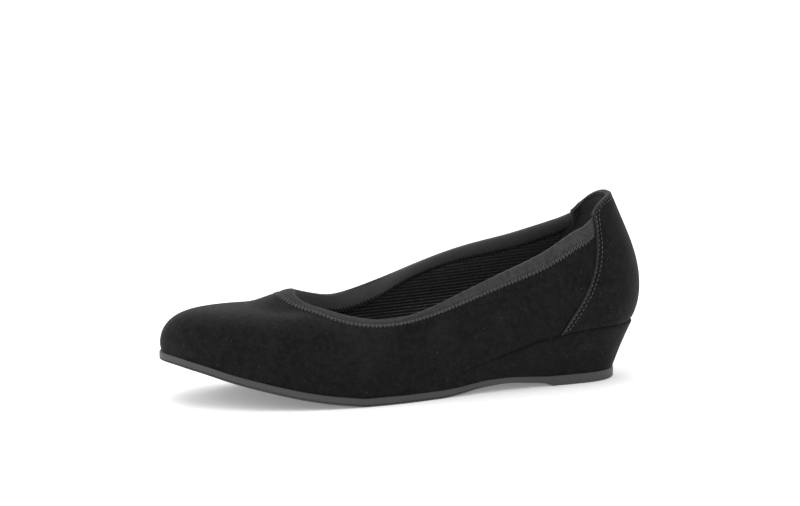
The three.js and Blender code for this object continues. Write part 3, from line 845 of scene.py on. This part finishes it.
def fold(distance):
    """Height of the suede by its distance in mm from the folded edge: a ridge, then two sewn rows."""
    edge = np.sqrt(np.clip(1 - (1 - np.clip(distance / 0.45, 0, 1)) ** 2, 0, 1)) - 1
    relief = 0.4 * hump(distance, 0.6, 0.38) + sewn_down(distance) + 0.12 * hump(distance, 2.2, 0.4)
    return (0.9 * edge + relief) * mm


def counter_face(u, down):
    """Way in of the counter's outer face, with its fold, its sewn rows and the tape's bulge under it."""
    behind = from_seam(u, down)
    below = (down - counter_top(u)) / mm
    sewn = sewn_down(below) * smooth_step(behind, 2.0, 3.6)
    tape_bulge = 0.3 * hump(below, 6.5, 3.5) * hump(behind, 0, 8)
    rear = 0.5 * hump(below, 34, 17) * hump(rib_number(u), 0, 1.5)
    return -counter_proud - fold(behind) - (sewn + tape_bulge + rear) * mm


seam_steps = [0, 0.002, 0.006, 0.012, *(0.018 + 0.009 * i for i in range(68))]
counter_stations = [-seam_rib + step for step in seam_steps] + spread(-2.36, 2.36, 96) + [
    seam_rib - step for step in reversed(seam_steps)]
top_steps = (0, 0.25, 0.5, *(0.7 + 0.2 * i for i in range(16)), 4.0, 4.5)


def counter_column(u):
    """Up the outside, over the rounded rim, down the inside lip, and back between the layers.

    Each point has a map place too: the way back from the seam, and the way down, less than 0 inside."""
    height = float(height_at(u))
    top = float(counter_top(u))
    low = np.linspace(height, top + 5.2 * mm, 44)
    high = top + (0.9 + np.array(top_steps[::-1])) * mm
    down = np.concatenate([low, high])
    tuck = 0.55 * mm * (1 - smooth_step(height - down, 0, 1.4 * mm)) ** 2
    inward = counter_face(u, down) + tuck
    behind = from_seam(u, down) * mm
    outer, _ = on_wall(u, down, inward)
    turn = np.radians(np.arange(15, 180, 15))
    outside = float(inward[-1])
    inside = 2.7 * mm - 0.7 * mm * hump(behind[-1], 0, 0.8 * mm)
    half = (inside - outside) / 2
    rim, _ = on_wall(u, top + 0.9 * mm * (1 - np.sin(turn)), outside + half * (1 - np.cos(turn)))
    below = np.array((0.9, 1.1, 1.25, 1.45, 1.65, 2.6, 6, 9, 12, 16, 20, 24, 26.5, 27.4, lip_depth / mm)) * mm
    lip = np.array((0, 0, 0.03, 0.15, 0.03, 0, 0, 0, 0, 0, 0, 0, 0, 0.15, 0.45)) * mm
    inner, _ = on_wall(u, top + below, inside - lip)
    between, _ = on_wall(u, np.array((top + lip_depth - 0.2 * mm, top + 2.2 * mm, top + 2.4 * mm, height)),
                         np.array((1.8, 1.6, 0.85, 0.85)) * mm)
    ways = [*(down - top), *(0.0 for _ in turn), *-below, *(-0.03 for _ in range(5))]
    across = [*behind, *(behind[-1] for _ in range(len(ways) - len(behind)))]
    return [*outer, *rim, *inner, *between, outer[0]], [*zip(across, ways)]


counter_columns = [counter_column(u) for u in counter_stations]
counter = woven([points for points, _ in counter_columns], lambda i, j: counter_columns[i][1][j])
cap_ends(counter)
counter_suede = suede_material("counter_suede", 0.0155, folded=True)
finish_piece(counter, "suede_counter", counter_suede, crease=60, replaces=["counter"])

# Collar tape
# The real tape is a folded grey elastic webbing, 8 mm deep, that binds the topline from one side of the
# tab round the throat to the other. Its inner face hangs free of the wall where the vamp leans in.
tape_stations = spread(seam_rib - 0.08, 2 * TOE - seam_rib + 0.08, 460)
# way down from the tape's edge and way in from the wall's outer face, in mm, for a tape 8 mm deep
tape_ring = [
    (7.9, 1.0), (7.95, 0.35), (7.7, 0.0), (7.2, -0.1), (6.6, -0.14), (5.6, -0.3), (4.4, -0.38),
    (3.2, -0.36), (2.2, -0.28), (1.3, -0.12), (0.7, 0.1), (0.25, 0.42), (0.03, 0.85), (0.03, 1.2),
    (0.25, 1.65), (0.7, 1.95), (1.4, 2.2), (2.4, 2.36), (3.6, 2.42), (5.0, 2.4), (6.2, 2.3), (7.0, 2.2),
    (7.6, 2.15), (7.95, 2.0), (7.95, 1.6), (7.9, 1.0),
]
tape_rim, tape_lower_edge = 14, 24  # the places in the ring between which the inner face hangs
tape_middle = tape_top(np.array(tape_stations)) + tape_width / 2
tape_run = run_along(on_wall(np.array(tape_stations), tape_middle)[0])
ring_run = run_along(np.array(tape_ring) * mm)


def ring_scale(u):
    """The drawn ring's size at one station."""
    return float(tape_depth(u)) / 8


def hang_share(u):
    """How far the tape's inner face hangs free: from the medial front round the throat."""
    return float(smooth_step(rib_number(u), 5.0, 7.0) * (1 - 0.6 * smooth_step(rib_number(u), 10.2, 11)))


def hang_inside(u, downs, points):
    """Lets points of the tape's inner face hang straight down from its rim, where the vamp leans in."""
    down, inward = tape_ring[tape_rim]
    rim_down = float(tape_top(u)) + down * mm * ring_scale(u)
    rim, _ = on_wall(u, rim_down, (inward - 0.4 * thin_share(u)) * mm)
    drift = 0.27 * float(smooth_step(rib_number(u), 7.2, 8.5)) - 0.12
    hung = rim + (downs - rim_down)[:, None] * np.array((*plan_normal(u) * drift, -0.97))
    return points + (hung - points) * hang_share(u)


def tape_column(u):
    """The ring round the tape at one station: thinner inside at the throat, and sunk under the counter."""
    downs = float(tape_top(u)) + np.array([down for down, _ in tape_ring]) * ring_scale(u)
    inward = np.array([level for _, level in tape_ring]) * mm
    thinned = 0.9 * np.maximum(inward - 1.2 * mm, 0) * thin_share(u)
    passing = 1 - float(smooth_step(rib_number(u) - seam_rib, -0.01, 0.05))
    sunk = (0.85 * mm - inward) * passing * (inward < 0.9 * mm)
    points = on_wall(u, downs, inward - thinned + sunk)[0]
    inner_face = slice(tape_rim + 1, tape_lower_edge)
    points[inner_face] = hang_inside(u, downs[inner_face], points[inner_face])
    return list(points)


tape = woven([tape_column(u) for u in tape_stations], lambda i, j: (float(tape_run[i]), float(ring_run[j])))
cap_ends(tape)


def weave_group():
    """Plain weave on a map in metres: ribs along and picks across, with uneven threads."""
    group, start, end = new_group(
        "weave",
        [("Vector", "Map", None), ("Float", "Pitch", 0.0006), ("Float", "Across", 0.0006)],
        [("Float", "Height")],
    )
    parts = parts_of(group, start.outputs["Map"])
    jitter = noise(group, start.outputs["Map"], 500.0, 2.0)
    waves = []
    for axis, pitch in (("X", "Pitch"), ("Y", "Across")):
        count = maths(group, "DIVIDE", parts[axis], start.outputs[pitch])
        drift = maths(group, "MULTIPLY_ADD", jitter, 0.7, count)
        waves.append(maths(group, "SINE", maths(group, "MULTIPLY", drift, 2 * math.pi)))
    feed(group, end, Height=remap(group, maths(group, "MULTIPLY", *waves), -1.0, 1.0))
    return group


weave = weave_group()


def webbing_material():
    """Grey webbing: painted shade along the inner face's lower edge and on the outer face round the throat,
    darker along the outer face's lowest edge, and painted light on the inner face, strongest near the rim.
    """
    material, tree, shader = new_material(
        "collar_webbing", Specular_IOR_Level=0.15, Sheen_Weight=0.08, Sheen_Roughness=0.4, Roughness=0.85)
    chart = own_map(tree)
    height = grouped(tree, weave, Map=chart, Pitch=0.0011, Across=0.0008)["Height"]
    tone = maths(tree, "MULTIPLY_ADD", height, 0.55, noise(tree, object_place(tree), 420.0, 3.0))
    parts = parts_of(tree, chart)
    # Y on the map runs round the ring, from the sewn edge outside over the rim to the inner lower edge
    # Painted shade along the lower edge of the inner face, where it hangs over the lining.
    inner_edge_shade = remap(tree, parts["Y"], 0.0162, 0.0174, 0.0, 0.3)
    # Darker along the lowest 2 mm of the outer face, under the zigzag.
    outer_lower_darkening = remap(tree, parts["Y"], 0.0018, 0.003, 0.2, 0.0)
    # Painted shade on the outer face round the middle of the throat.
    from_throat = maths(tree, "ABSOLUTE", maths(tree, "SUBTRACT", parts["X"], float(tape_run[-1]) / 2))
    outside = maths(tree, "LESS_THAN", parts["Y"], 0.008)
    throat_shade = maths(tree, "MULTIPLY", remap(tree, from_throat, 0.055, 0.1, 0.6, 0.0), outside)
    # The painted shade and the darker outer lower edge, together.
    dark = maths(tree, "MAXIMUM", maths(tree, "MAXIMUM", inner_edge_shade, outer_lower_darkening), throat_shade)
    # Painted light on the inner face, strongest near the rim.
    inside = maths(tree, "GREATER_THAN", parts["Y"], 0.0088)
    inner_face_light = maths(tree, "MULTIPLY", remap(tree, parts["Y"], 0.0105, 0.0165, 0.8, 0.25), inside)
    base = ramp(tree, tone, (0.35, 0.016), (1.0, 0.056))
    feed(tree, shader, Base_Color=mix(tree, dark, mix(tree, inner_face_light, base, 0.085), 0.008),
         Normal=bump(tree, height, 0.8, 0.0003))
    return material


finish_piece(tape, "collar_webbing", webbing_material(), crease=60, replaces=["collar_tape"])

# Zigzag stitching
# A zigzag about 2.5 mm wide sews the tape's lower edges down, with light thread to the suede outside
# and with dark thread to the lining inside. Each leg of it is one short rounded thread.
zigzag_pitch = 2.02 * mm
zigzag_half = 1.25 * mm


def threads(legs, thickness):
    """A rounded thread for each leg, given by its two ends and the way out of the surface."""
    whole = bmesh.new()
    for first in range(0, len(legs), 16):
        length = bmesh.new()
        for start, end, out in legs[first:first + 16]:
            along = Vector(end - start)
            side = along.cross(Vector(out)).normalized()
            raised = side.cross(along).normalized()
            shape = Matrix((side * thickness, raised * thickness * 0.8, along / 2 * 1.08)).transposed()
            place = Matrix.Translation(Vector((start + end) / 2)) @ shape.to_4x4()
            bmesh.ops.create_uvsphere(length, u_segments=6, v_segments=5, radius=1, matrix=place)
        held = bpy.data.meshes.new("thread_length")
        length.to_mesh(held)
        whole.from_mesh(held)
        length.free()
        bpy.data.meshes.remove(held)
    return whole


def even_stations(first, last, pitch, down_of, inward):
    """Ribs that lie a pitch apart along a line on the wall."""
    fine = np.linspace(first, last, 1500)
    line = on_wall(fine, down_of(fine), inward)[0]
    run = run_along(line)
    count = round(run[-1] / pitch)
    return np.interp(np.linspace(0, run[-1], count + 1), run, fine)


def thread_material(name, dark, light, shine=0.35):
    material, tree, shader = new_material(
        name, Specular_IOR_Level=shine, Sheen_Weight=0.4 * shine, Roughness=0.6)
    ply = noise(tree, object_place(tree), 900.0, 3.0)
    feed(tree, shader, Base_Color=ramp(tree, ply, (0.3, dark), (0.7, light)),
         Normal=bump(tree, ply, 0.5, 0.0001))
    return material


def tape_foot(u):
    """The line along the tape's lower edge, as a way down from the topline."""
    return tape_top(u) + tape_depth(u) + 0.15 * mm


def zigzag(on_tape, on_cloth, thickness, is_inner=False):
    """The zigzag on one face of the wall, by its ends' way in on the tape and on the cloth below."""
    ribs = even_stations(seam_rib + 0.07, 2 * TOE - seam_rib - 0.07, zigzag_pitch / 2, tape_foot, on_tape)
    swing = np.where(np.arange(len(ribs)) % 2 == 0, zigzag_half, -zigzag_half)
    downs = tape_foot(ribs) + swing
    if is_inner:
        downs = downs - 1.3 * mm * np.array([hang_share(rib) for rib in ribs])
    points, normals = on_wall(ribs, downs, np.where(swing < 0, on_tape, on_cloth))
    if is_inner:
        for i, rib in enumerate(ribs):
            points[i] = hang_inside(rib, downs[i:i + 1], points[i:i + 1])[0]
            points[i, :2] -= plan_normal(rib) * 0.3 * mm * hang_share(rib)
    return threads(list(zip(points, points[1:], normals)), thickness)


zigzag_thread = thread_material("zigzag_thread", 0.035, 0.075)
inner_thread = thread_material("inner_thread", 0.002, 0.008, shine=0.1)
finish_piece(
    zigzag(-0.3 * mm, -0.06 * mm, 0.22 * mm), "outer_zigzag_thread", zigzag_thread, crease=180)
finish_piece(
    zigzag(2.55 * mm, 2.4 * mm, 0.27 * mm, True), "inner_zigzag_thread", inner_thread, crease=180)

# Counter stitching
# Two rows of grey thread hold the counter's folded edges and run on round under the tab's top edge.
# A single row holds the lip inside. The stitches are short dashes with small gaps between them.
stitch_pitch = 2.35 * mm
stitch_length = 1.5 * mm


def row_line(offset, side):
    """Ribs and ways down of one row: up the seam, round the corner and along under the top to the peak."""
    corner = 2.2
    foot = float(height_at(side * seam_rib)) / mm - 1.2
    up = [(offset, b) for b in np.linspace(foot, offset + corner, 70)]
    bend = [(offset + corner * (1 - math.cos(t)), offset + corner * (1 - math.sin(t)))
            for t in np.linspace(0, math.pi / 2, 10)[1:]]
    ribs, downs = [], []
    fine = np.linspace(seam_rib, 0.8, 90) * side
    for away, below in up + bend:
        level = below * mm + counter_top(fine)
        ribs.append(float(np.interp(away, np.maximum.accumulate(from_seam(fine, level)), fine * side)))
        downs.append(below * mm)
    for rib in np.linspace(ribs[-1], 0, 80)[1:]:
        ribs.append(float(rib))
        downs.append(offset * mm)
    return side * np.array(ribs), np.array(downs)


def dashes(ribs, downs, inward, flip=1):
    """A leg for each stitch along a line on the wall; flip is -1 for a row on the inside."""
    points, normals = on_wall(ribs, downs, inward)
    run = run_along(points)
    centres = np.linspace(0, run[-1], round(run[-1] / stitch_pitch) + 1)[1:]
    legs = []
    for centre in centres:
        ends = [np.array([np.interp(centre + half, run, points[:, k]) for k in range(3)])
                for half in (-stitch_length / 2, stitch_length / 2)]
        normal = np.array([np.interp(centre, run, normals[:, k]) for k in range(3)])
        legs.append((ends[0], ends[1], normal * flip))
    return legs


legs = []
for offset in stitch_rows:
    for side in (1, -1):
        ribs, downs = row_line(offset, side)
        downs = downs + counter_top(ribs)
        legs += dashes(ribs, downs, counter_face(ribs, downs) - 0.04 * mm)
inside_ribs = np.linspace(-2.85, 2.85, 260)
legs += dashes(inside_ribs, counter_top(inside_ribs) + 1.45 * mm, 2.55 * mm, flip=-1)
counter_thread = thread_material("counter_thread", 0.05, 0.12)
finish_piece(threads(legs, 0.17 * mm), "counter_stitches", counter_thread, crease=180)

# Insole
# The real sock is a padded textile sheet over a board that fills the bottom inside the upper.
# It is one crowned pad here with rounded edges.
insole_inset = wall + 2 * gap


def insole_ring(k):
    """One cross-section of the sock: rounded edges and a low crown between them."""
    # way in from the edge, and height over the underside
    profile = [(0.4, 0.0), (0.1, 0.3), (0, 0.8), (0, 1.9), (0.15, 2.4), (0.5, 2.75), (1.0, 2.92), (1.7, 3.0)]

    def edge(u, inset, level):
        x, y = foot_offset(u, -insole_inset - inset * mm)
        return np.array((x, y, seat(x) + gap + level * mm))

    side = [edge(k, *row) for row in profile]
    other = [edge(2 * TOE - k, *row) for row in reversed(profile)]
    return closed_ring(side, other, 14, crown=0.35 * mm)


insole_stations = spread(0.0, TOE, 120, 0.05, 10.95)
insole = woven([insole_ring(k) for k in insole_stations])


def sock_material():
    material, tree, shader = new_material(
        "insole_sock", Specular_IOR_Level=0.2, Sheen_Weight=0.3, Sheen_Roughness=0.5, Roughness=0.9)
    place = object_place(tree)
    height = grouped(tree, weave, Map=place, Pitch=0.0009, Across=0.0009)["Height"]
    tone = maths(tree, "MULTIPLY_ADD", height, 0.5, noise(tree, place, 60.0, 4.0))
    feed(tree, shader, Base_Color=ramp(tree, tone, (0.3, 0.007), (1.0, 0.024)),
         Normal=bump(tree, height, 0.4, 0.0003))
    return material


insole_piece = finish_piece(insole, "insole_sock", sock_material(), crease=60, replaces=["insole"])
